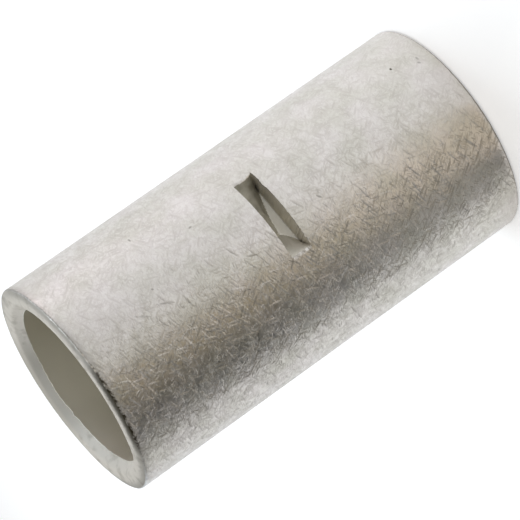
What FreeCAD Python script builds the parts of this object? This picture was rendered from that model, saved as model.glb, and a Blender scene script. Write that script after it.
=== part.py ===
import FreeCAD, Part
import os
import Sketcher

# Bare butt splice connector: one length of plated copper tube with countersunk mouths,
# and a strip of its wall punched inward at mid-length as the stop for both conductors.
# The tube stands on one end, its axis is +Z, and the punched notch faces -Y.

NODE = "splice_barrel"
NEAR = 1e-6

# Every size in millimetres, by its cell name.
SIZES = {
    # tube
    "bore_diameter": 15.0,
    "wall_thickness": 2.3,
    "tube_length": 39.6,
    "mouth_step": 0.9,
    "mouth_depth": 0.9,
    "rim_break": 0.15,
    # bore beside the stop, which the punch leaves slightly bellied
    "belly_margin": 0.64,
    "belly_rise": 0.04,
    # punched notch in the outside of the wall
    "notch_width": 1.96,
    "notch_rise": 0.13,
    "notch_chord": 7.88,
    "notch_depth": 2.2,
    "upper_floor_lift": 0.6,
    "fold_drop": 0.13,
    "fold_left": 1.2,
    "fold_land": 0.12,
    "foot_left": 2.8,
    "foot_right": 2.6,
    # strip of wall that stands in the bore
    "stop_height": 1.9,
    "stop_shoulder": 0.55,
    "stop_flat": 5.2,
    "stop_slope_run": 2.4,
    "stop_slope_rise": 1.6,
    "stop_bend_radius": 1.5,
    "stop_edge_radius": 0.55,
}

BORE_RADIUS = "sizes.bore_diameter / 2"
OUTER_RADIUS = f"({BORE_RADIUS} + sizes.wall_thickness)"
MID_LENGTH = "sizes.tube_length / 2"
NOTCH_MIDDLE = f"({MID_LENGTH} + sizes.notch_rise)"
NOTCH_END = "sizes.notch_chord / 2"
NOTCH_RIM = f"sqrt({OUTER_RADIUS} ^ 2 - ({NOTCH_END}) ^ 2)"
NOTCH_FLOOR = f"({OUTER_RADIUS} - sizes.notch_depth)"
STOP_FACE = f"({BORE_RADIUS} - sizes.stop_height)"
STOP_REACH = "(sizes.notch_width / 2 + sizes.stop_shoulder)"
BELLY_REACH = f"({STOP_REACH} + sizes.notch_rise + sizes.belly_margin)"


def make_sheet(document):
    """The spreadsheet of driving dimensions, one named row for each."""
    sheet = document.addObject("Spreadsheet::Sheet", "sizes")
    for row, (name, millimetres) in enumerate(SIZES.items(), start=1):
        sheet.set(f"A{row}", name)
        sheet.set(f"B{row}", str(millimetres))
        sheet.setAlias(f"B{row}", name)
    document.recompute()
    return sheet


def origin_plane(body, role):
    """One of the body's own origin planes."""
    return next(plane for plane in body.Origin.OriginFeatures if plane.Role == role)


def draw_polygon(body, name, plane_role, corners, height="0 mm"):
    """A closed sketch whose corners are pairs of formulas, on a plane lifted by a height."""
    sketch = body.newObject("Sketcher::SketchObject", name)
    sketch.AttachmentSupport = [(origin_plane(body, plane_role), "")]
    sketch.MapMode = "FlatFace"
    sketch.setExpression("AttachmentOffset.Base.z", height)
    count = len(corners)
    draft = [FreeCAD.Vector(index, index * index, 0) for index in range(count)]
    lines = [Part.LineSegment(draft[i], draft[(i + 1) % count]) for i in range(count)]
    sketch.addGeometry(lines)
    for index in range(count):
        following = (index + 1) % count
        sketch.addConstraint(Sketcher.Constraint("Coincident", index, 2, following, 1))
    for index, (across, along) in enumerate(corners):
        for kind, formula, start in (
            ("DistanceX", across, draft[index].x),
            ("DistanceY", along, draft[index].y),
        ):
            rule = Sketcher.Constraint(kind, -1, 1, index, 1, start)
            number = sketch.addConstraint(rule)
            sketch.setExpression(f"Constraints[{number}]", formula)
    return sketch


def make_tube(body):
    """The plain tube, turned from half of its lengthwise section."""
    rim = f"{OUTER_RADIUS} - sizes.rim_break"
    mouth = f"{BORE_RADIUS} + sizes.mouth_step"
    belly = f"{BORE_RADIUS} + sizes.belly_rise"
    top = "sizes.tube_length"
    section = draw_polygon(
        body,
        "tube_section",
        "XZ_Plane",
        [
            (rim, "0 mm"),
            (OUTER_RADIUS, "sizes.rim_break"),
            (OUTER_RADIUS, f"{top} - sizes.rim_break"),
            (rim, top),
            (mouth, top),
            (BORE_RADIUS, f"{top} - sizes.mouth_depth"),
            (BORE_RADIUS, f"{MID_LENGTH} + {BELLY_REACH}"),
            (belly, MID_LENGTH),
            (BORE_RADIUS, f"{MID_LENGTH} - {BELLY_REACH}"),
            (BORE_RADIUS, "sizes.mouth_depth"),
            (mouth, "0 mm"),
        ],
    )
    tube = body.newObject("PartDesign::Revolution", "tube")
    tube.Profile = section
    tube.ReferenceAxis = (section, ["V_Axis"])
    tube.Angle = 360.0
    return tube


def make_stop(body):
    """The strip of wall where it stands in the bore, a little wider than the notch above it."""
    flat = "sizes.stop_flat / 2"
    foot = f"({flat} + sizes.stop_slope_run)"
    face_height = f"-{STOP_FACE}"
    foot_height = f"-({STOP_FACE} + sizes.stop_slope_rise)"
    in_wall = f"-({BORE_RADIUS} + sizes.wall_thickness / 2)"
    section = draw_polygon(
        body,
        "stop_section",
        "XY_Plane",
        [
            (flat, face_height),
            (foot, foot_height),
            (flat, in_wall),
            (f"-{flat}", in_wall),
            (f"-{foot}", foot_height),
            (f"-{flat}", face_height),
        ],
        height=f"{NOTCH_MIDDLE} - {STOP_REACH}",
    )
    stop = body.newObject("PartDesign::Pad", "stop")
    stop.Profile = section
    stop.setExpression("Length", f"2 * {STOP_REACH}")
    return stop


def edges_where(shape, wanted):
    """The names of a shape's edges whose end points and middle satisfy a test."""
    names = []
    for number, edge in enumerate(shape.Edges, start=1):
        middle = edge.valueAt((edge.FirstParameter + edge.LastParameter) / 2)
        points = [vertex.Point for vertex in edge.Vertexes] + [middle]
        if wanted(points):
            names.append(f"Edge{number}")
    return names


def round_edges(body, name, base, edges, radius):
    """One fillet on the named edges of the feature before it."""
    rounding = body.newObject("PartDesign::Fillet", name)
    rounding.Base = (base, edges)
    rounding.setExpression("Radius", radius)
    return rounding


def round_stop(document, body, stop, sizes):
    """The strip bends where it leaves the wall, and its long edges are drawn round."""
    face = -(sizes.bore_diameter / 2 - sizes.stop_height)
    inside = sizes.bore_diameter / 2 - NEAR

    def bend_line(points):
        upright = abs(points[0].x - points[1].x) < NEAR and abs(points[0].y - face) < NEAR
        return upright and len(points) == 3 and abs(points[0].z - points[1].z) > NEAR

    bends = edges_where(stop.Shape, bend_line)
    bent = round_edges(body, "stop_bends", stop, bends, "sizes.stop_bend_radius")
    document.recompute()

    def long_edge(points):
        level = max(point.z for point in points) - min(point.z for point in points) < NEAR
        in_bore = (points[-1].x ** 2 + points[-1].y ** 2) ** 0.5 < inside
        return level and in_bore

    edges = edges_where(bent.Shape, long_edge)
    return round_edges(body, "stop_edges", bent, edges, "sizes.stop_edge_radius")


def make_notch(body):
    """The punched notch: upright long sides and a floor of three facets that meet at a fold."""
    opening = f"-({OUTER_RADIUS} + sizes.notch_depth)"
    floor = f"-{NOTCH_FLOOR}"
    upper_floor = f"-({NOTCH_FLOOR} + sizes.upper_floor_lift)"
    fold_right = "-sizes.fold_left + sizes.fold_land"
    fold_left = "-sizes.fold_left - sizes.fold_land"

    def section(name, height, right, left, depth):
        return draw_polygon(
            body,
            name,
            "XY_Plane",
            [
                (NOTCH_END, opening),
                (NOTCH_END, f"-{NOTCH_RIM}"),
                (right, depth),
                (left, depth),
                (f"-{NOTCH_END}", f"-{NOTCH_RIM}"),
                (f"-{NOTCH_END}", opening),
            ],
            height=height,
        )

    upper = section(
        "notch_upper_side",
        f"{NOTCH_MIDDLE} + sizes.notch_width / 2",
        fold_right,
        fold_left,
        upper_floor,
    )
    fold = section(
        "notch_fold",
        f"{NOTCH_MIDDLE} - sizes.fold_drop",
        fold_right,
        fold_left,
        floor,
    )
    lower = section(
        "notch_lower_side",
        f"{NOTCH_MIDDLE} - sizes.notch_width / 2",
        "sizes.foot_right",
        "-sizes.foot_left",
        floor,
    )
    notch = body.newObject("PartDesign::SubtractiveLoft", "notch")
    notch.Profile = upper
    notch.Sections = [fold, lower]
    notch.Ruled = True
    return notch


def check(document, body):
    """Stop if anything in the document failed or the finished solid is not sound."""
    for item in document.Objects:
        if "Invalid" in item.State or "Error" in item.State:
            raise RuntimeError(f"{item.Name} failed: {item.State}")
    if body.Shape.isNull() or not body.Shape.isValid() or len(body.Shape.Solids) != 1:
        raise RuntimeError(f"{body.Label} is not one sound solid")


def main():
    document = FreeCAD.newDocument("butt_splice_connector")
    sizes = make_sheet(document)
    body = document.addObject("PartDesign::Body", NODE)
    body.Label = NODE
    make_tube(body)
    document.recompute()
    bare_volume = body.Shape.Volume
    stop = make_stop(body)
    document.recompute()
    padded_volume = body.Shape.Volume
    round_stop(document, body, stop, sizes)
    document.recompute()
    make_notch(body)
    document.recompute()
    check(document, body)
    print("tube", bare_volume, "with stop", padded_volume, "finished", body.Shape.Volume)
    os.makedirs("parts", exist_ok=True)
    body.Shape.exportStep(os.path.join("parts", f"{body.Label}.step"))


main()
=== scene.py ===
import math

import bpy
import numpy as np
from mathutils import Matrix, Vector, noise


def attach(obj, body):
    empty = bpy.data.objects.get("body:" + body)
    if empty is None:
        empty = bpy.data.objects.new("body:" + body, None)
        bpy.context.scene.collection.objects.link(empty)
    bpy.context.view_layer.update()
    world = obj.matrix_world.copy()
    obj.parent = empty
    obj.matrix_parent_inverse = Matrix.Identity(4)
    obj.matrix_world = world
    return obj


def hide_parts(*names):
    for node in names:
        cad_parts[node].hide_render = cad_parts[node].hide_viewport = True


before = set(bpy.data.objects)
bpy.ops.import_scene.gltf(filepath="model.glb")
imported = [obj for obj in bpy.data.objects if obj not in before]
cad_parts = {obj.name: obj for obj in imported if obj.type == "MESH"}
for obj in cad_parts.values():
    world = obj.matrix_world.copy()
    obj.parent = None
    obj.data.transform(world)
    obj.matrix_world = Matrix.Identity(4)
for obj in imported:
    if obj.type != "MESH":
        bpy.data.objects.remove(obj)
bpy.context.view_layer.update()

# Bare butt splice connector, tin-plated copper, standing on one end on a pale floor.
# Lengths are millimetres until a mesh, lamp or camera is made. The punched notch faces -Y,
# and angles round the tube go from -Y towards +X.

MM = 0.001

# Tube, with its top end cut a little out of square
OUTER_RADIUS = 9.8
BORE_RADIUS = 7.5
LENGTH = 39.6
CUT_RISE = 0.13
CUT_HIGH_SIDE = math.radians(-15.0)

# Outer edges, worn round, and the side of the top one that is worn most
RIM_REACH = 0.85
RIM_ROUND = 0.26
RIM_UNEVEN = 0.05
RIM_GRAIN = 0.45
RIM_WORN_SIDE = math.radians(-36.0)
RIM_WORN_SPREAD = 0.45
RIM_WORN_MORE = 0.08

# Countersinks, with small teeth that are longest opposite the notch
MOUTH_STEP = 0.7
MOUTH_DEPTH = 0.77
MOUTH_LIP = 0.05
MOUTH_LIP_SPREAD = 0.08
TEETH_HEIGHT = 0.07
TEETH_GRAIN = 0.22
TEETH_FINE = 0.35
TEETH_PLACE = 0.25
TEETH_SPREAD = 0.7

# Places where the upper countersink is shallower, nicked or deeper: angle, spread and change
MOUTH_MARKS = (
    (math.radians(160.0), 0.24, -0.14),
    (math.radians(179.0), 0.02, -0.10),
    (math.radians(238.0), 0.35, 0.13),
)
MOUTH_WIDE_SIDE = math.radians(287.0)
MOUTH_WIDE_SPREAD = 0.25
MOUTH_WIDE_STEP = 0.18

# Notch: upright long sides at two heights, and a floor of facets that meet at a fold
NOTCH_LOW = 18.95
NOTCH_HIGH = 20.91
NOTCH_END = 3.94
FLOOR_REACH = 7.6
FLOOR_LEAN = 0.35
VALLEY_REACH = 8.2
FOLD_HEIGHT = 19.8
FOOT_RIGHT = 2.8
FOOT_LEFT = -2.95
FOLD_RIGHT = -1.05
FOLD_LEFT = -1.3
SIDE_DRAFT = 0.03
END_BOW = 0.22

# How the floor's folds and slopes bend: powers, and the share of the right fold that runs evenly
FOLD_ROUNDING = 0.15
FOLD_RIGHT_EVEN = 0.78
FOLD_RIGHT_BEND = 8
FOLD_LEFT_BEND = 0.65
VALLEY_BEND = 1.5
SLOPE_BEND = 1.4
SLOPE_PAST_RIM = 1.2

# Rounding where the notch's walls meet the outside, and how much more there is on the left
EDGE_ROLL = 0.18
EDGE_ROLL_LEFT = 0.14
EDGE_ROLL_FROM = -1.0
EDGE_ROLL_TO = -3.5

# Lower rim of the notch: a kink on the right, and burrs that are largest on the left
KINK_PLACE = 2.4
KINK_SPREAD = 0.3
KINK_RISE = 0.07
BURR_PLACE = -2.9
BURR_SPREAD = 0.8
BURR_SMALL = 0.03
BURR_MORE = 0.10
BURR_GRAIN = 0.16
BURR_REACH = 0.7

# Cracks at the foot of the notch's floor: place across the tube, spread and depth
CRACK_HEIGHT = 0.1
CRACKS = (
    (FOOT_RIGHT + 0.2, 0.28, 0.35),
    (FOOT_LEFT - 0.15, 0.2, 0.3),
)

# Strip of wall pushed into the bore behind the notch
STOP_REACH = 5.6
STOP_FLAT = 2.6
STOP_SLOPE = 1.6 / 2.4
STOP_LOW = 18.4
STOP_HIGH = 21.46
STOP_BEVEL = 0.55
STOP_ROUNDING = 0.5
STOP_FILLET = 0.25

# Mesh columns round the tube, finer where the notch and the stop are
FINE_HALF_ANGLE = math.radians(28.5)
FINE_COLUMNS = 141
COARSE_COLUMNS = 150

# Mesh rows up the outside, close together through the notch and even away from it
PLAIN_ROWS = 29
APRON_ROWS = 15
APRON_HEIGHT = 1.5
APRON_CROWDING = 1.6
WALL_ROWS = 8
FLOOR_ROWS = 27
OUTER_ROWS = 2 * (PLAIN_ROWS + APRON_ROWS + WALL_ROWS) + FLOOR_ROWS
CROWDED_TO = NOTCH_END + 0.1
EVEN_FROM = 6.2

# Mesh rows down the bore, close together over the stop
BORE_ROWS = 18
STOP_ROWS = 42
STOP_APRON = 0.4

# Mesh rows over an end: turns of the worn edge, then shares of the end face and the countersink
RIM_TURNS = (15.0, 30.0, 45.0, 60.0, 75.0, 90.0)
FACE_SHARES = (0.35, 0.7)
FACE_MARGIN = 0.1
SINK_SHARES = (-0.1, 0.02, 0.14, 0.3, 0.5, 0.7, 0.85, 0.96)
SHARP_ANGLE = math.radians(32.0)

# Numbers of the materials on the mesh, and how far in from a bound a face has to lie
OUTSIDE, BORE, NOTCH_WALL, CUT_END, NOTCH_SLOPE, NOTCH_FLAT = range(6)
BORE_MARGIN = 0.02
NOTCH_MARGIN = 0.12
FLOOR_MARGIN = 0.08
END_MARGIN = 0.06
SINK_MARGIN = 0.01

# Colours of the metal, as linear red, green, blue
TIN_CLEAN = (0.76, 0.725, 0.70, 1.0)
TIN_DULL = (0.67, 0.65, 0.595, 1.0)
MARK_DARK = (0.36, 0.33, 0.28, 1.0)
BORE_OLIVE = (0.73, 0.71, 0.61, 1.0)
# Painted sheen on the bore's lighter side
BORE_WARM_SHEEN = (0.94, 0.90, 0.82, 1.0)
PRESSED_DARK = (0.60, 0.57, 0.49, 1.0)
PRESSED_PALE = (0.68, 0.65, 0.57, 1.0)
# The slope's colours run from painted shade to painted light, and the flat's are painted light
SLOPE_SHADED = (0.27, 0.255, 0.20, 1.0)
SLOPE_LIT = (0.74, 0.71, 0.62, 1.0)
FLAT_LIT_DARK = (0.88, 0.85, 0.76, 1.0)
FLAT_LIT_PALE = (0.95, 0.92, 0.84, 1.0)
# Near black, laid on dents as painted shade and on the outer edges as wear and painted shade
EDGE_DARK = (0.06, 0.05, 0.03, 1.0)
CUT_PALE = (0.58, 0.545, 0.49, 1.0)
CUT_DULL = (0.38, 0.35, 0.30, 1.0)

# Names that end in RAMP or FADE hold two bounds of a value. A second pair of numbers is what
# becomes of it at those bounds, in place of 0 and 1

# Marks from tumbling, finest last: way they lie from the girth in degrees, spacing along
# and across in mm, slope of their sides, and how dark they are on the marked side
STROKES = (
    (20.0, 1.8, 0.31, 0.55, 0.0),
    (-50.0, 1.6, 0.28, 0.22, 0.68),
    (75.0, 1.6, 0.30, 0.30, 0.0),
    (-10.0, 0.8, 0.20, 0.55, 0.0),
    (40.0, 0.7, 0.18, 0.22, 0.595),
    (-70.0, 0.8, 0.20, 0.35, 0.0),
    (8.0, 0.5, 0.13, 0.40, 0.0),
    (-35.0, 0.5, 0.14, 0.20, 0.51),
)

# One mark: the thickness of its cell in mm, and then its fade, strength, lean and slope
# within the cell
STROKE_THICKNESS = 0.4
STROKE_FADE = (0.06, 0.2, 1.0, 0.0)
STROKE_STRENGTH_RAMP = (0.2, 1.1)
STROKE_LEAN = 1.6
STROKE_SLOPE = 2.2

# The marks are strong on one side of the tube and weak on another. The ramps for it are of
# the cosine of the turn from that side
MARKED_SIDE = math.radians(-41.7)
MARKED_RAMP = (0.90, 0.955)
MARKED_LEAST = 0.8
MARKED_MORE = 0.5
SMOOTH_SIDE = math.radians(60.0)
SMOOTH_RAMP = (0.1, 0.6, 1.0, 0.25)
MARK_TINT = 0.08
MARK_ROUGH = 0.25

# Single dents, drawn only as painted shade with no relief: place along the girth and up the
# tube, length in mm, way they lie in degrees, and how dark they are
DENT_SHADES = (
    (4.6, 3.7, 0.34, 0.0, 1.0),
    (3.95, 1.4, 0.5, 0.0, 0.3),
    (3.45, 1.6, 0.4, 30.0, 0.3),
    (-1.2, 16.05, 0.6, 35.0, 0.5),
    (-2.0, 23.55, 1.15, 64.0, 0.3),
    (-1.2, 31.6, 1.5, 61.0, 0.28),
    (-1.9, 30.1, 1.5, 9.0, 0.28),
    (-0.95, 33.9, 1.6, 57.0, 0.22),
    (0.4, 31.85, 0.3, 40.0, 0.4),
    (5.55, 30.3, 0.5, 0.0, 0.4),
    (3.0, 26.0, 0.4, -84.0, 0.4),
)
DENT_SHADE_WIDTH = 0.11
DENT_SHADE_FADE = (0.4, 1.1)

# Clouds on the tin, its shine and its grain
TIN_CLOUD_GRAIN = 2.6
TIN_CLOUD_RAMP = (0.25, 0.75)
TIN_SHINE_GRAIN = 0.9
TIN_SHINE_RAMP = (0.3, 0.7, 0.30, 0.38)
TIN_GRAIN = 0.16
TIN_RELIEF = 0.28

# Worn outer edges, partly wear and partly painted shade: darkest on the worn side and at the top
# end, in a broken ragged line
WORN_SHADED_MOST_RAMP = (0.86, 0.975, 0.0, 0.6)
WORN_SHADED_SOME_RAMP = (-0.5, 0.0, 0.1, 0.4)
WORN_SHADED_HEIGHT_RAMP = (5.0, 35.0, 0.2, 1.0)
WORN_SHADED_START = 0.13
WORN_SHADED_REACH = 0.22
WORN_SHADED_FADE = (-0.12, 0.1)
WORN_ROUGH = 0.25
BREAK_GRAIN = 0.35
BREAK_RAMP = (0.35, 0.55, 0.45, 1.0)
RAGGED_GRAIN = 0.2
RAGGED_REACH = 0.5

# Depths of the finest relief, which only the shading shows
FINE_RELIEF = 0.03
BORE_RELIEF = 0.02

# Bore: lines along it, and a painted warm sheen that makes the metal lighter on one side
BORE_STRETCH = 0.04
BORE_LINES = 0.3
BORE_CLOUD_GRAIN = 3.0
BORE_SHEEN_SIDE = math.radians(230.0)
BORE_SHEEN_RAMP = (-0.4, 0.9)

# Notch: clouds and grain of the punched metal, and the place from which the painted shade on its
# slope starts to pale
PRESSED_CLOUD_GRAIN = 0.7
PRESSED_GRAIN = 0.25
PAINTED_SHADING_FROM = 2.0

# Cut ends: how far the burnished countersinks shade as if they were flat, turning lines,
# smudges and a side that is darker
CUT_EVENNESS = 2.5
CUT_LINES = 6.0
CUT_GRAIN = 0.2
CUT_CLOUD_GRAIN = 0.8
CUT_CLOUD_RAMP = (0.45, 0.72, 0.0, 0.8)
CUT_DULL_SIDE = math.radians(155.0)
CUT_DULL_RAMP = (0.72, 1.0, 0.0, 0.9)

# Floor: half its width, its white, and how much it adds to that where it is seen or mirrored
FLOOR_HALF = 2000.0
FLOOR_WHITE = (0.85, 0.85, 0.85, 1.0)
FLOOR_GLOW = 0.45
WHITE = (1.0, 1.0, 1.0, 1.0)

# Cards just above the floor, which only the tube's mirroring sees: painted reflections, and
# their glow is painted light. FRONT_SIDE is the camera's side in degrees from -Y towards -X.
# A card is given by the turns from there between which the tube mirrors its near edge, the
# same for its far edge, how far out both edges lie, its colour and its glow
FRONT_SIDE = 14.7
CARD_HEIGHT = 0.1
REFLECTION_CARDS = (
    ("grey_card", (24.0, 34.0), (20.5, 45.0), (0.6, 42.0), (0.38, 0.38, 0.36, 1.0), 0.24),
    ("dark_card", (20.5, 45.0), (20.5, 45.5), (42.0, 1200.0), (0.015, 0.015, 0.012, 1.0), 0.0),
    ("pale_tan_card", (-2.0, 24.0), (-5.0, 20.5), (0.6, 42.0), (0.82, 0.74, 0.63, 1.0), 0.4),
    ("tan_card", (4.0, 20.5), (4.0, 20.5), (42.0, 400.0), (0.54, 0.40, 0.19, 1.0), 0.0),
)

# Lamps: side in degrees from -Y towards -X, rise in degrees, watts and colour
LAMP_SIZE = 120.0
LAMP_DISTANCE = 250.0
LAMPS = (
    ("back_high", -135.3, 60.0, 0.250, (0.88, 1.0, 1.1)),
    ("back", -165.3, 35.0, 0.056, (1.1, 1.0, 0.9)),
    ("front_high", 14.7, 60.0, 0.028, (1.2, 1.0, 0.7)),
    ("left_high", 44.7, 60.0, 0.044, (1.0, 1.0, 0.95)),
    ("right", -45.3, 12.0, 0.022, (0.95, 1.0, 1.1)),
    ("far_right", -75.3, 12.0, 0.062, (1.12, 1.0, 1.08)),
    ("back_left", 164.7, 12.0, 0.054, (0.85, 1.0, 1.15)),
)
WORLD_STRENGTH = 0.3

# Camera: place, side in degrees from -Y towards -X, rise and roll in degrees, and lens
CAMERA_PLACE = (-64.79, -246.96, 101.86)
CAMERA_SIDE = 14.668
CAMERA_RISE = 17.751
CAMERA_ROLL = math.radians(-125.207)
CAMERA_LENS = 223.32
CAMERA_SENSOR = 36.0


def smooth_step(low, high, value):
    """0 below low, 1 above high, and a smooth rise between them."""
    share = np.clip((value - low) / (high - low), 0.0, 1.0)
    return share * share * (3.0 - 2.0 * share)


def soft_minimum(first, second, rounding):
    """The smaller of two values, with their meeting rounded."""
    share = np.clip(0.5 + 0.5 * (second - first) / rounding, 0.0, 1.0)
    return second + (first - second) * share - rounding * share * (1.0 - share)


def swell(value, middle, spread):
    """1 where a value is at its middle, with a smooth fall to 0 on both sides."""
    return np.exp(-(((value - middle) / spread) ** 2))


def ripple(x, y, z, grain, seed):
    """Smooth random values from -1 to 1 at points in space, with a grain in millimetres."""
    shape = np.broadcast(x, y, z).shape
    points = np.stack([np.broadcast_to(part, shape).ravel() for part in (x, y, z)], axis=1)
    shift = Vector((seed * 7.3, seed * 3.1, seed * 5.7))
    values = [noise.noise(Vector(point) / grain + shift) for point in points]
    return np.array(values).reshape(shape)


def column_angles():
    """Angles round the tube, one for each column of the mesh."""
    fine = np.linspace(-FINE_HALF_ANGLE, FINE_HALF_ANGLE, FINE_COLUMNS)
    rest = np.linspace(FINE_HALF_ANGLE, 2.0 * math.pi - FINE_HALF_ANGLE, COARSE_COLUMNS + 2)
    return np.concatenate([fine, rest[1:-1]])


def low_rim_shift(x):
    """How far the notch's lower rim strays from straight, by its kink and its burrs."""
    kink = KINK_RISE * swell(x, KINK_PLACE, KINK_SPREAD)
    burr = BURR_SMALL + BURR_MORE * swell(x, BURR_PLACE, BURR_SPREAD)
    return kink + burr * ripple(x, 0.0, 0.0, BURR_GRAIN, 5)


def notch_rise(z):
    """Share of the way from the foot of the notch's floor up to its fold."""
    foot = NOTCH_LOW + SIDE_DRAFT
    rise = (z - foot) / (FOLD_HEIGHT - foot)
    return np.clip(soft_minimum(rise, np.ones_like(rise), FOLD_ROUNDING), 0.0, 1.0)


def notch_folds(z):
    """Where the right and the left slope of the notch's floor begin."""
    rise = notch_rise(z)
    run = FOLD_RIGHT_EVEN * rise + (1.0 - FOLD_RIGHT_EVEN) * rise ** FOLD_RIGHT_BEND
    right = FOOT_RIGHT + (FOLD_RIGHT - FOOT_RIGHT) * run
    left = FOOT_LEFT + (FOLD_LEFT - FOOT_LEFT) * rise ** FOLD_LEFT_BEND
    return right, left


def notch_bottom(z):
    """Distance of the middle of the notch's floor from the axis plane, at heights along it."""
    lean = FLOOR_LEAN * notch_rise(z)
    fall = np.clip((z - FOLD_HEIGHT) / (NOTCH_HIGH - FOLD_HEIGHT), 0.0, 1.0)
    valley = (VALLEY_REACH - FLOOR_REACH + FLOOR_LEAN) * fall ** VALLEY_BEND
    return FLOOR_REACH - lean + valley


def notch_floor(x, z):
    """Distance of the notch's floor from the axis plane, at places across and along the tube."""
    rim = math.sqrt(OUTER_RADIUS ** 2 - NOTCH_END ** 2)
    middle = NOTCH_LOW + (NOTCH_HIGH - NOTCH_LOW) / 2
    bow = END_BOW * (1.0 - ((z - middle) / (NOTCH_HIGH - middle)) ** 2)
    right, left = notch_folds(z)
    bottom = notch_bottom(z)
    right_share = np.clip((x - right) / (NOTCH_END - bow - right), 0.0, SLOPE_PAST_RIM)
    right_slope = bottom + (rim - bottom) * right_share ** SLOPE_BEND
    left_slope = bottom + (rim - bottom) * (left - x) / (NOTCH_END + left)
    floor = np.maximum(bottom, np.maximum(right_slope, left_slope))
    cracked = sum(depth * swell(x, place, spread) for place, spread, depth in CRACKS)
    return floor - cracked * swell(z, NOTCH_LOW + SIDE_DRAFT, CRACK_HEIGHT)


def top_edge(angles):
    """Height of the top end, which was cut a little out of square."""
    return LENGTH + CUT_RISE * (1.0 + np.cos(angles - CUT_HIGH_SIDE))


def rim_round(angles, top):
    """How far down the worn outer edge reaches, heavier on one side of the top end."""
    wear = RIM_ROUND + RIM_UNEVEN * np.cos(3.0 * angles + 1.0)
    x = np.cos(angles) * OUTER_RADIUS
    y = np.sin(angles) * OUTER_RADIUS
    wear = wear + RIM_UNEVEN * ripple(x, y, 0.0, RIM_GRAIN, 3 + top)
    if top:
        away = np.arccos(np.clip(np.cos(angles - RIM_WORN_SIDE), -1.0, 1.0))
        wear = wear + RIM_WORN_MORE * swell(away, 0.0, RIM_WORN_SPREAD)
    return wear


def mouth_depth(angles, top):
    """How far down the countersink reaches, where its cutter left small teeth."""
    x = np.cos(angles) * BORE_RADIUS
    y = np.sin(angles) * BORE_RADIUS
    teeth = ripple(x, y, 0.0, TEETH_GRAIN, 7 + top)
    longest = swell(np.abs(angles - math.pi), TEETH_PLACE, TEETH_SPREAD)
    torn = TEETH_FINE + (1.0 - TEETH_FINE) * longest
    depth = MOUTH_DEPTH + TEETH_HEIGHT * teeth * torn
    if top:
        for place, spread, change in MOUTH_MARKS:
            depth = depth + change * swell(angles, place, spread)
    return depth


def notch_rows():
    """Heights of the rows through the notch, and the share of its depth each one takes."""
    crowded = np.linspace(1.0, 0.0, APRON_ROWS) ** APRON_CROWDING
    wall = np.linspace(0.0, 1.0, WALL_ROWS + 2)[1:-1]
    heights = np.concatenate(
        [
            NOTCH_LOW - APRON_HEIGHT * crowded,
            NOTCH_LOW + SIDE_DRAFT * wall,
            np.linspace(NOTCH_LOW + SIDE_DRAFT, NOTCH_HIGH - SIDE_DRAFT, FLOOR_ROWS),
            NOTCH_HIGH - SIDE_DRAFT * wall[::-1],
            NOTCH_HIGH + APRON_HEIGHT * crowded[::-1],
        ]
    )
    plain = np.zeros(APRON_ROWS)
    shares = np.concatenate([plain, wall, np.ones(FLOOR_ROWS), wall[::-1], plain])
    return heights[:, None], shares[:, None]


def build_outer_wall(angles):
    """Rings of points up the outside, through the notch where the tube has it."""
    side = OUTER_RADIUS * np.sin(angles)
    ahead = np.cos(angles) > 0
    gather = 1.0 - smooth_step(CROWDED_TO, EVEN_FROM, np.abs(side))
    gather = np.where(ahead, gather, 0.0)

    gathered, shares = notch_rows()
    even = np.linspace(gathered[0], gathered[-1], len(gathered))
    nearness = 1.0 - np.clip(np.abs(gathered - NOTCH_LOW) / BURR_REACH, 0.0, 1.0)
    shifted = gathered + nearness * low_rim_shift(side)
    heights = shifted * gather + even * (1.0 - gather)

    bottom = rim_round(angles, top=False)
    top = top_edge(angles) - rim_round(angles, top=True)
    below = np.linspace(bottom, heights[0], PLAIN_ROWS + 1)[:-1]
    above = np.linspace(heights[-1], top, PLAIN_ROWS + 1)[1:]
    z = np.concatenate([below, heights, above])
    plain = np.zeros((PLAIN_ROWS, 1))
    depth = np.concatenate([plain, shares, plain])

    x = np.broadcast_to(side, z.shape)
    reach = OUTER_RADIUS * np.cos(angles) * np.ones_like(z)
    foot = np.clip(z, NOTCH_LOW, NOTCH_HIGH)
    rolled = EDGE_ROLL + EDGE_ROLL_LEFT * smooth_step(EDGE_ROLL_FROM, EDGE_ROLL_TO, x)
    floor_reach = soft_minimum(reach, notch_floor(x, foot), rolled)
    y = -np.where(ahead, reach + (floor_reach - reach) * depth, reach)
    return x, y, z


def stop_face(x):
    """Distance of the stop's face from the axis plane, across the bore."""
    slope = STOP_REACH + (np.abs(x) - STOP_FLAT) * STOP_SLOPE
    return -soft_minimum(-STOP_REACH * np.ones_like(x), -slope, STOP_ROUNDING)


def build_bore(angles):
    """Rings of points down the bore, over the stop at mid-length."""
    ones = np.ones_like(angles)
    top = top_edge(angles) - mouth_depth(angles, top=True)
    bottom = mouth_depth(angles, top=False)
    above = (STOP_HIGH + STOP_APRON) * ones
    below = (STOP_LOW - STOP_APRON) * ones
    high = np.linspace(top, above, BORE_ROWS)
    middle = np.linspace(above, below, STOP_ROWS)
    low = np.linspace(below, bottom, BORE_ROWS)
    z = np.concatenate([high, middle[1:-1], low])
    x = BORE_RADIUS * np.sin(angles) * np.ones_like(z)
    reach = BORE_RADIUS * np.cos(angles) * np.ones_like(z)
    inside = smooth_step(STOP_LOW, STOP_LOW + STOP_BEVEL, z)
    inside = inside * (1.0 - smooth_step(STOP_HIGH - STOP_BEVEL, STOP_HIGH, z))
    face = soft_minimum(reach, stop_face(x), STOP_FILLET)
    ahead = np.cos(angles) > 0
    y = -np.where(ahead, reach + (face - reach) * inside, reach)
    return x, y, z


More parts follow.
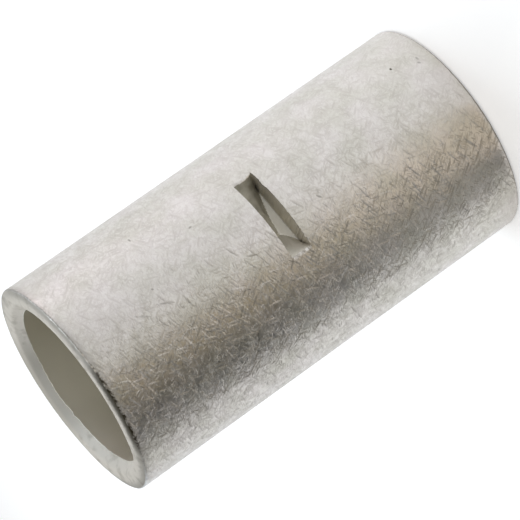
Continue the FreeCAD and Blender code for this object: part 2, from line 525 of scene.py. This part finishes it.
def build_mouth(angles, top):
    """Rings from the outside over the rim and the end face and down the countersink."""
    rounding = rim_round(angles, top)
    radii = []
    drops = []
    for turn in np.radians(RIM_TURNS):
        radii.append(np.full_like(angles, OUTER_RADIUS - RIM_REACH * (1.0 - math.cos(turn))))
        drops.append(rounding * (1.0 - math.sin(turn)))
    widened = MOUTH_WIDE_STEP * swell(angles, MOUTH_WIDE_SIDE, MOUTH_WIDE_SPREAD)
    edge = BORE_RADIUS + MOUTH_STEP + widened
    flat = OUTER_RADIUS - RIM_REACH
    for share in FACE_SHARES:
        radii.append(flat + (edge + FACE_MARGIN - flat) * share)
        drops.append(np.zeros_like(angles))
    depth = mouth_depth(angles, top)
    for share in SINK_SHARES:
        slope = max(share, 0.0) + MOUTH_LIP * swell(share, 0.0, MOUTH_LIP_SPREAD)
        radii.append(edge - (edge - BORE_RADIUS) * share)
        drops.append(depth * slope)
    if not top:
        radii.reverse()
        drops.reverse()
    radii = np.array(radii)
    drops = np.array(drops)
    z = top_edge(angles) - drops if top else drops
    return radii * np.sin(angles), -radii * np.cos(angles), z


def grid_mesh(name, rings):
    """A closed mesh from stacked rings of points, the last joined to the first."""
    x, y, z = (np.concatenate([ring[part] for ring in rings]) for part in range(3))
    rows, columns = x.shape
    points = np.stack([x, y, z], axis=2).reshape(-1, 3) * MM
    here = np.arange(rows * columns).reshape(rows, columns)
    right = np.roll(here, -1, axis=1)
    above = np.roll(here, -1, axis=0)
    diagonal = np.roll(right, -1, axis=0)
    faces = np.stack([here, right, diagonal, above], axis=2).reshape(-1, 4)
    mesh = bpy.data.meshes.new(name)
    mesh.from_pydata(points.tolist(), [], faces.tolist())
    mesh.polygons.foreach_set("use_smooth", np.ones(len(faces), dtype=bool))
    mesh.update()
    return mesh


def paint_faces(mesh):
    """Give each face the number of its material, by where it lies."""
    count = len(mesh.polygons)
    centres = np.empty(count * 3)
    mesh.polygons.foreach_get("center", centres)
    x, y, z = (centres.reshape(-1, 3) / MM).T
    radius = np.hypot(x, y)
    numbers = np.full(count, OUTSIDE, dtype=np.int32)
    numbers[radius < BORE_RADIUS + BORE_MARGIN] = BORE
    row = np.arange(count) // (FINE_COLUMNS + COARSE_COLUMNS)
    in_notch = (row < OUTER_ROWS) & (radius < OUTER_RADIUS - NOTCH_MARGIN)
    right, left = notch_folds(z)
    on_floor = in_notch & (z > NOTCH_LOW + FLOOR_MARGIN)
    numbers[in_notch] = NOTCH_WALL
    numbers[on_floor & (x > right)] = NOTCH_SLOPE
    numbers[on_floor & (x < right) & (x > left)] = NOTCH_FLAT
    half = LENGTH / 2
    at_end = (row > OUTER_ROWS) & (np.abs(z - half) > half - MOUTH_DEPTH - END_MARGIN)
    at_end &= radius > BORE_RADIUS + SINK_MARGIN
    numbers[at_end & (numbers == OUTSIDE)] = CUT_END
    mesh.polygons.foreach_set("material_index", numbers)


def make_barrel():
    """The splice itself, in place of its CAD solid."""
    angles = column_angles()
    rings = [
        build_outer_wall(angles),
        build_mouth(angles, top=True),
        build_bore(angles),
        build_mouth(angles, top=False),
    ]
    mesh = grid_mesh("splice_barrel_detail", rings)
    mesh.set_sharp_from_angle(angle=SHARP_ANGLE)
    barrel = bpy.data.objects.new("splice_barrel_detail", mesh)
    bpy.context.scene.collection.objects.link(barrel)
    # The notch's faces are copies of one punched tin: the flat painted paler for light, the slope
    # painted from shade to pale
    sloped = pressed_metal("pressed_slope_painted_shade", SLOPE_SHADED, SLOPE_LIT, shine=0.6, painted_shading=0.22)
    mesh.materials.append(tumbled_tin())
    mesh.materials.append(drawn_bore())
    mesh.materials.append(pressed_metal("pressed_wall", PRESSED_DARK, PRESSED_PALE, shine=0.6))
    mesh.materials.append(cut_end())
    mesh.materials.append(sloped)
    mesh.materials.append(pressed_metal("pressed_flat_painted_light", FLAT_LIT_DARK, FLAT_LIT_PALE, shine=0.9))
    paint_faces(mesh)
    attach(barrel, "root")
    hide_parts("splice_barrel")


class Nodes:
    """A new material, with short calls for adding shader nodes to it."""

    def __init__(self, name):
        self.material = bpy.data.materials.new(name)
        self.material.use_nodes = True
        self.tree = self.material.node_tree
        self.shader = self.tree.nodes["Principled BSDF"]

    def add(self, kind, **settings):
        node = self.tree.nodes.new(kind)
        for name, value in settings.items():
            setattr(node, name, value)
        return node

    def link(self, socket, value):
        """Set a socket to a number or vector, or join it to another node's output."""
        if isinstance(value, bpy.types.NodeSocket):
            self.tree.links.new(value, socket)
        else:
            socket.default_value = value

    def surface(self, **settings):
        """Set what the surface is like, such as its roughness."""
        for name, value in settings.items():
            self.link(self.shader.inputs[name.replace("_", " ").title()], value)

    def maths(self, operation, first, second=0.0, third=0.0):
        node = self.add("ShaderNodeMath", operation=operation)
        for socket, value in zip(node.inputs, (first, second, third)):
            self.link(socket, value)
        return node.outputs[0]

    def vector(self, operation, first, second=(0.0, 0.0, 0.0)):
        node = self.add("ShaderNodeVectorMath", operation=operation)
        self.link(node.inputs[0], first)
        self.link(node.inputs[1], second)
        return node.outputs["Value" if operation in ("DOT_PRODUCT", "LENGTH") else "Vector"]

    def scaled(self, vector, factor):
        node = self.add("ShaderNodeVectorMath", operation="SCALE")
        self.link(node.inputs[0], vector)
        self.link(node.inputs["Scale"], factor)
        return node.outputs["Vector"]

    def parts(self, vector):
        """The X, Y and Z of a vector."""
        node = self.add("ShaderNodeSeparateXYZ")
        self.link(node.inputs[0], vector)
        return tuple(node.outputs)

    def ramp(self, value, low, high, start=0.0, end=1.0):
        """A smooth change from start to end while a value goes from low to high."""
        node = self.add("ShaderNodeMapRange", interpolation_type="SMOOTHSTEP")
        for socket, number in zip(node.inputs, (value, low, high, start, end)):
            self.link(socket, number)
        return node.outputs[0]

    def noise(self, where, grain, detail=2.0):
        node = self.add("ShaderNodeTexNoise")
        self.link(node.inputs["Vector"], where)
        self.link(node.inputs["Scale"], 1.0 / grain)
        self.link(node.inputs["Detail"], detail)
        return node.outputs["Fac"]

    def mix(self, share, first, second):
        node = self.add("ShaderNodeMix", data_type="RGBA")
        self.link(node.inputs["Factor"], share)
        self.link(node.inputs["A"], first)
        self.link(node.inputs["B"], second)
        return node.outputs["Result"]

    def placed(self, where, location, turn, scale):
        """Places in a frame that is moved, turned about its Z and scaled."""
        node = self.add("ShaderNodeMapping", vector_type="TEXTURE")
        self.link(node.inputs["Vector"], where)
        self.link(node.inputs["Location"], location)
        self.link(node.inputs["Rotation"], (0.0, 0.0, math.radians(turn)))
        self.link(node.inputs["Scale"], scale)
        return node.outputs[0]

    def leaned(self, lean):
        """The surface's own normal, leaned by a vector."""
        normal = self.add("ShaderNodeTexCoord").outputs["Normal"]
        return self.vector("NORMALIZE", self.vector("ADD", normal, lean))

    def relief(self, height, strength, depth, normal=None):
        """The normal of a surface with fine relief, on top of another normal if so wished."""
        node = self.add("ShaderNodeBump")
        self.link(node.inputs["Height"], height)
        self.link(node.inputs["Strength"], strength)
        self.link(node.inputs["Distance"], depth * MM)
        if normal is not None:
            self.link(node.inputs["Normal"], normal)
        return node.outputs["Normal"]


def metal(name):
    """The nodes of a new metal, and the places on it in millimetres."""
    nodes = Nodes(name)
    nodes.surface(metallic=1.0)
    place = nodes.add("ShaderNodeTexCoord").outputs["Object"]
    return nodes, nodes.scaled(place, 1.0 / MM)


def across(nodes, where):
    """A place without its height, so that its length is the distance from the axis."""
    return nodes.vector("MULTIPLY", where, (1.0, 1.0, 0.0))


def facing(nodes, where, angle):
    """Cosine of the way round the tube from a chosen angle."""
    flat = nodes.vector("NORMALIZE", across(nodes, where))
    return nodes.vector("DOT_PRODUCT", flat, (math.sin(angle), -math.cos(angle), 0.0))


def unrolled(nodes, where):
    """Place on the unrolled tube: along the girth, along the tube and out from the axis."""
    x, y, z = nodes.parts(where)
    angle = nodes.maths("ARCTAN2", x, nodes.maths("MULTIPLY", y, -1.0))
    girth = nodes.maths("MULTIPLY", angle, OUTER_RADIUS)
    radius = nodes.vector("LENGTH", across(nodes, where))
    joined = nodes.add("ShaderNodeCombineXYZ")
    for socket, value in zip(joined.inputs, (girth, z, radius)):
        nodes.link(socket, value)
    return joined.outputs[0]


def stroke_layer(nodes, place, turn, along, wide, seed):
    """Short straight grooves that lie about one way: how marked a place is, and its slope."""
    corner = (seed * 3.7, seed * 5.3, seed * 1.9)
    inside = nodes.placed(place, corner, turn, (along, wide, STROKE_THICKNESS))
    cells = nodes.add("ShaderNodeTexVoronoi", feature="F1")
    nodes.link(cells.inputs["Vector"], inside)
    nodes.link(cells.inputs["Scale"], 1.0)
    offset = nodes.vector("SUBTRACT", inside, cells.outputs["Position"])
    ahead, aside, _ = nodes.parts(offset)
    first, second, third = nodes.parts(cells.outputs["Color"])
    lean = nodes.maths("MULTIPLY", nodes.maths("SUBTRACT", first, 0.5), STROKE_LEAN)
    lean = nodes.maths("MULTIPLY", lean, ahead)
    side = nodes.maths("ADD", aside, lean)
    run = nodes.maths("MULTIPLY", ahead, ahead)
    reach = nodes.maths("ADD", nodes.maths("MULTIPLY", side, side), run)
    strength = nodes.ramp(second, *STROKE_STRENGTH_RAMP)
    mark = nodes.maths("MULTIPLY", nodes.ramp(reach, *STROKE_FADE), strength)
    bias = nodes.maths("SUBTRACT", third, 0.5)
    slope = nodes.maths("ADD", nodes.maths("MULTIPLY", side, STROKE_SLOPE), bias)
    return mark, nodes.maths("MULTIPLY", slope, mark)


def dent(nodes, place, girth, height, along, turn, dark):
    """How dark the painted shade of one long thin dent on the unrolled tube is, and 0 outside it.
    """
    corner = (girth, height, OUTER_RADIUS)
    inside = nodes.placed(place, corner, turn, (along / 2, DENT_SHADE_WIDTH, 1.0))
    return nodes.ramp(nodes.vector("LENGTH", inside), *DENT_SHADE_FADE, dark, 0.0)


def ragged(nodes, where):
    """Fine random values about 0, for worn edges."""
    values = nodes.maths("SUBTRACT", nodes.noise(where, RAGGED_GRAIN, 4.0), 0.5)
    return nodes.maths("MULTIPLY", values, RAGGED_REACH)


def rim_wear_and_shade(nodes, where):
    """How worn and how shaded the outer edges are round the tube, partly wear and partly painted
    shade: most on one side.
    """
    aside = facing(nodes, where, RIM_WORN_SIDE)
    most = nodes.ramp(aside, *WORN_SHADED_MOST_RAMP)
    wear = nodes.maths("ADD", most, nodes.ramp(aside, *WORN_SHADED_SOME_RAMP))
    height = nodes.parts(where)[2]
    return nodes.maths("MULTIPLY", wear, nodes.ramp(height, *WORN_SHADED_HEIGHT_RAMP))


def worn_and_shaded_edge(nodes, where):
    """A dark ragged line down the side from the worn outer edges, partly wear and partly painted
    shade, and 0 elsewhere.
    """
    half = LENGTH / 2 + CUT_RISE
    height = nodes.parts(where)[2]
    from_middle = nodes.maths("ABSOLUTE", nodes.maths("SUBTRACT", height, half))
    endward = nodes.maths("SUBTRACT", from_middle, half - WORN_SHADED_START)
    wear = rim_wear_and_shade(nodes, where)
    reach = nodes.maths("MULTIPLY_ADD", wear, WORN_SHADED_REACH, endward)
    reach = nodes.maths("ADD", ragged(nodes, where), reach)
    line = nodes.ramp(reach, *WORN_SHADED_FADE)
    broken = nodes.ramp(nodes.noise(where, BREAK_GRAIN, 2.0), *BREAK_RAMP)
    return nodes.maths("MULTIPLY", line, nodes.maths("MULTIPLY", wear, broken))


def all_strokes(nodes, place):
    """All the tumbling marks: how marked and how dark a place is, and its two slopes."""
    marks = 0.0
    darkened = 0.0
    round_tilt = 0.0
    long_tilt = 0.0
    for seed, (turn, along, wide, depth, dark) in enumerate(STROKES, start=1):
        mark, slope = stroke_layer(nodes, place, turn, along, wide, seed)
        turn = math.radians(turn)
        marks = nodes.maths("MAXIMUM", marks, mark)
        darkened = nodes.maths("MAXIMUM", darkened, nodes.maths("MULTIPLY", mark, dark))
        round_tilt = nodes.maths("MULTIPLY_ADD", slope, -math.sin(turn) * depth, round_tilt)
        long_tilt = nodes.maths("MULTIPLY_ADD", slope, math.cos(turn) * depth, long_tilt)
    return marks, darkened, round_tilt, long_tilt


def tumbled_tin():
    """Dull tin plating covered in short random marks from tumbling."""
    nodes, where = metal("tumbled_tin")
    place = unrolled(nodes, where)
    marks, darkened, round_tilt, long_tilt = all_strokes(nodes, place)
    rough_side = nodes.ramp(facing(nodes, where, MARKED_SIDE), *MARKED_RAMP)
    smoothed = nodes.ramp(facing(nodes, where, SMOOTH_SIDE), *SMOOTH_RAMP)
    marked = nodes.maths("MULTIPLY_ADD", rough_side, MARKED_MORE, MARKED_LEAST)
    marked = nodes.maths("MULTIPLY", marked, smoothed)
    round_way = nodes.vector("CROSS_PRODUCT", (0.0, 0.0, 1.0), where)
    round_way = nodes.vector("NORMALIZE", round_way)
    round_lean = nodes.scaled(round_way, nodes.maths("MULTIPLY", round_tilt, marked))
    long_lean = nodes.scaled((0.0, 0.0, 1.0), nodes.maths("MULTIPLY", long_tilt, marked))
    normal = nodes.leaned(nodes.vector("ADD", round_lean, long_lean))
    grain = nodes.noise(where, TIN_GRAIN, 3.0)
    nodes.surface(normal=nodes.relief(grain, TIN_RELIEF, FINE_RELIEF, normal))

    cloud = nodes.noise(where, TIN_CLOUD_GRAIN, 4.0)
    tin = nodes.mix(nodes.ramp(cloud, *TIN_CLOUD_RAMP), TIN_DULL, TIN_CLEAN)
    tin = nodes.mix(nodes.maths("MULTIPLY", marks, MARK_TINT), tin, MARK_DARK)
    # Marks are darker on one side of the tube
    tin = nodes.mix(nodes.maths("MULTIPLY", darkened, rough_side), tin, MARK_DARK)
    # Painted shade: each dent is a near-black patch in the colour, standing for the shade inside it
    dent_shades = 0.0
    for row in DENT_SHADES:
        dent_shades = nodes.maths("MAXIMUM", dent_shades, dent(nodes, place, *row))
    tin = nodes.mix(dent_shades, tin, EDGE_DARK)
    # Near-black line along the worn edges: partly wear, partly painted shade where the rounded
    # edges mirror dark
    edge = worn_and_shaded_edge(nodes, where)
    nodes.surface(base_color=nodes.mix(edge, tin, EDGE_DARK))

    roughness = nodes.ramp(nodes.noise(where, TIN_SHINE_GRAIN, 3.0), *TIN_SHINE_RAMP)
    roughness = nodes.maths("MULTIPLY_ADD", edge, WORN_ROUGH, roughness)
    nodes.surface(roughness=nodes.maths("MULTIPLY_ADD", marks, MARK_ROUGH, roughness))
    return nodes.material


def drawn_bore():
    """Smoother, darker metal inside the bore, with faint lines along it and a painted warm sheen on
    one side.
    """
    nodes, where = metal("drawn_bore")
    stretched = nodes.vector("MULTIPLY", where, (1.0, 1.0, BORE_STRETCH))
    lines = nodes.noise(stretched, BORE_LINES, 3.0)
    nodes.surface(normal=nodes.relief(lines, 0.25, BORE_RELIEF))
    # Painted sheen: the colour turns lighter and warmer towards one side of the bore
    painted_sheen = nodes.ramp(facing(nodes, where, BORE_SHEEN_SIDE), *BORE_SHEEN_RAMP)
    cloud = nodes.noise(where, BORE_CLOUD_GRAIN, 3.0)
    cloud = nodes.maths("MULTIPLY_ADD", cloud, 0.3, painted_sheen)
    nodes.surface(base_color=nodes.mix(cloud, BORE_OLIVE, BORE_WARM_SHEEN))
    nodes.surface(roughness=0.45, metallic=0.92)
    return nodes.material


def pressed_metal(name, dark, pale, shine, painted_shading=0.0):
    """Punched metal of the notch, in copies whose colours differ by face for painted light and
    shade, and paler to one side by painted shading if so wished.
    """
    nodes, where = metal(name)
    # Painted shading: darker towards +X, paler towards -X
    aside = nodes.maths("SUBTRACT", nodes.parts(where)[0], PAINTED_SHADING_FROM)
    cloud = nodes.noise(where, PRESSED_CLOUD_GRAIN, 4.0)
    cloud = nodes.maths("MULTIPLY_ADD", aside, -painted_shading, cloud)
    grain = nodes.noise(where, PRESSED_GRAIN, 3.0)
    nodes.surface(normal=nodes.relief(grain, 0.3, FINE_RELIEF))
    nodes.surface(base_color=nodes.mix(cloud, dark, pale))
    nodes.surface(roughness=0.55, metallic=shine)
    return nodes.material


def cut_end():
    """Matt pale tin on the end faces and countersinks, with faint turning lines and smudges."""
    nodes, where = metal("cut_end")
    flat = OUTER_RADIUS - RIM_REACH
    height = nodes.parts(where)[2]
    outward = nodes.maths("SIGN", nodes.maths("SUBTRACT", height, LENGTH / 2))
    radius = nodes.vector("LENGTH", across(nodes, where))
    evenness = nodes.ramp(radius, BORE_RADIUS + MOUTH_STEP, flat, CUT_EVENNESS, 0.0)
    lean = nodes.scaled((0.0, 0.0, 1.0), nodes.maths("MULTIPLY", outward, evenness))
    rings = nodes.vector("MULTIPLY", where, (1.0, 1.0, CUT_LINES))
    lines = nodes.noise(rings, CUT_GRAIN, 4.0)
    nodes.surface(normal=nodes.relief(lines, 0.3, FINE_RELIEF, nodes.leaned(lean)))

    cloud = nodes.ramp(nodes.noise(where, CUT_CLOUD_GRAIN, 5.0), *CUT_CLOUD_RAMP)
    # Darker towards one side of the end faces
    darker_side = nodes.ramp(facing(nodes, where, CUT_DULL_SIDE), *CUT_DULL_RAMP)
    cloud = nodes.maths("MAXIMUM", cloud, darker_side)
    # Near-black towards the outer edge: partly wear, partly painted shade
    worn = nodes.maths("ADD", ragged(nodes, where), radius)
    worn = nodes.ramp(worn, flat - 0.15, OUTER_RADIUS - 0.25)
    worn = nodes.maths("MULTIPLY", worn, rim_wear_and_shade(nodes, where))
    tin = nodes.mix(cloud, CUT_PALE, CUT_DULL)
    nodes.surface(base_color=nodes.mix(worn, tin, EDGE_DARK))
    nodes.surface(metallic=nodes.ramp(radius, flat - 0.2, flat + 0.3, 0.45, 0.15))
    nodes.surface(roughness=0.65)
    return nodes.material


def make_sheet(name, corners, nodes):
    """A flat piece with four corners, in millimetres, of one material."""
    mesh = bpy.data.meshes.new(name)
    mesh.from_pydata([Vector(corner) * MM for corner in corners], [], [(0, 1, 2, 3)])
    mesh.materials.append(nodes.material)
    sheet = bpy.data.objects.new(name, mesh)
    bpy.context.scene.collection.objects.link(sheet)
    return sheet


def make_floor():
    """A plain white floor that keeps the tube's shadow."""
    nodes = Nodes("floor_paper")
    path = nodes.add("ShaderNodeLightPath")
    seen = nodes.maths("MAXIMUM", path.outputs["Is Camera Ray"], path.outputs["Is Glossy Ray"])
    seen = nodes.maths("MAXIMUM", seen, path.outputs["Is Transmission Ray"])
    nodes.surface(base_color=FLOOR_WHITE, roughness=0.9)
    nodes.surface(emission_color=WHITE, emission_strength=nodes.maths("MULTIPLY", seen, FLOOR_GLOW))
    low = -FLOOR_HALF
    high = FLOOR_HALF
    corners = [(low, low, 0.0), (high, low, 0.0), (high, high, 0.0), (low, high, 0.0)]
    floor = make_sheet("floor", corners, nodes)


def way(side, rise=0.0):
    """Unit vector towards a side, in degrees from -Y towards -X, raised by an angle."""
    side = math.radians(side)
    rise = math.radians(rise)
    level = math.cos(rise)
    return Vector((-math.sin(side) * level, -math.cos(side) * level, math.sin(rise)))


def mirrored_place(turn, reach):
    """Place on the floor that the tube mirrors forwards, from a side turned away from the front."""
    foot = way(FRONT_SIDE + turn) * OUTER_RADIUS
    return foot + way(FRONT_SIDE + 2.0 * turn) * reach


def make_reflection_card(name, near_turns, far_turns, reach, colour, painted_glow):
    """A card that lies on the floor, which only the tube's mirroring sees: a painted reflection,
    with painted glow.
    """
    nodes = Nodes(name)
    nodes.surface(base_color=colour, roughness=0.9)
    # Painted glow, seen only in reflections
    nodes.surface(emission_color=colour, emission_strength=painted_glow)
    near, far = reach
    corners = [mirrored_place(near_turns[0], near), mirrored_place(far_turns[0], far)]
    corners += [mirrored_place(far_turns[1], far), mirrored_place(near_turns[1], near)]
    card = make_sheet(name, corners, nodes)
    card.location = (0.0, 0.0, CARD_HEIGHT * MM)
    card.visible_camera = False
    card.visible_diffuse = False
    card.visible_shadow = False


def make_lamp(name, side, rise, watts, colour):
    """A soft square lamp that faces the middle of the tube from one side."""
    data = bpy.data.lights.new(name, "AREA")
    data.size = LAMP_SIZE * MM
    data.energy = watts
    data.color = colour
    lamp = bpy.data.objects.new(name, data)
    middle = Vector((0.0, 0.0, LENGTH / 2))
    lamp.location = (middle + way(side, rise) * LAMP_DISTANCE) * MM
    lamp.rotation_mode = "QUATERNION"
    lamp.rotation_quaternion = (-way(side, rise)).to_track_quat("-Z", "Y")
    bpy.context.scene.collection.objects.link(lamp)


def make_world():
    """Plain grey light from all round."""
    world = bpy.data.worlds.new("studio")
    world.use_nodes = True
    background = world.node_tree.nodes["Background"]
    background.inputs["Color"].default_value = WHITE
    background.inputs["Strength"].default_value = WORLD_STRENGTH
    bpy.context.scene.world = world


def make_camera():
    """The camera of the photograph, which is turned on its side."""
    side = math.radians(CAMERA_SIDE)
    back = way(CAMERA_SIDE, CAMERA_RISE)
    level = Vector((math.cos(side), -math.sin(side), 0.0))
    upright = back.cross(level)
    right = level * math.cos(CAMERA_ROLL) + upright * math.sin(CAMERA_ROLL)
    up = back.cross(right)
    data = bpy.data.cameras.new("camera")
    data.sensor_width = CAMERA_SENSOR
    data.lens = CAMERA_LENS
    data.clip_start = 0.01
    data.clip_end = 20.0
    camera = bpy.data.objects.new("camera", data)
    turned = Matrix((right, up, back)).transposed().to_4x4()
    camera.matrix_world = Matrix.Translation(Vector(CAMERA_PLACE) * MM) @ turned
    bpy.context.scene.collection.objects.link(camera)
    bpy.context.scene.camera = camera


make_camera()
make_world()
for lamp in LAMPS:
    make_lamp(*lamp)
make_floor()
for card in REFLECTION_CARDS:
    make_reflection_card(*card)
make_barrel()
bpy.context.scene.view_settings.view_transform = "Standard"
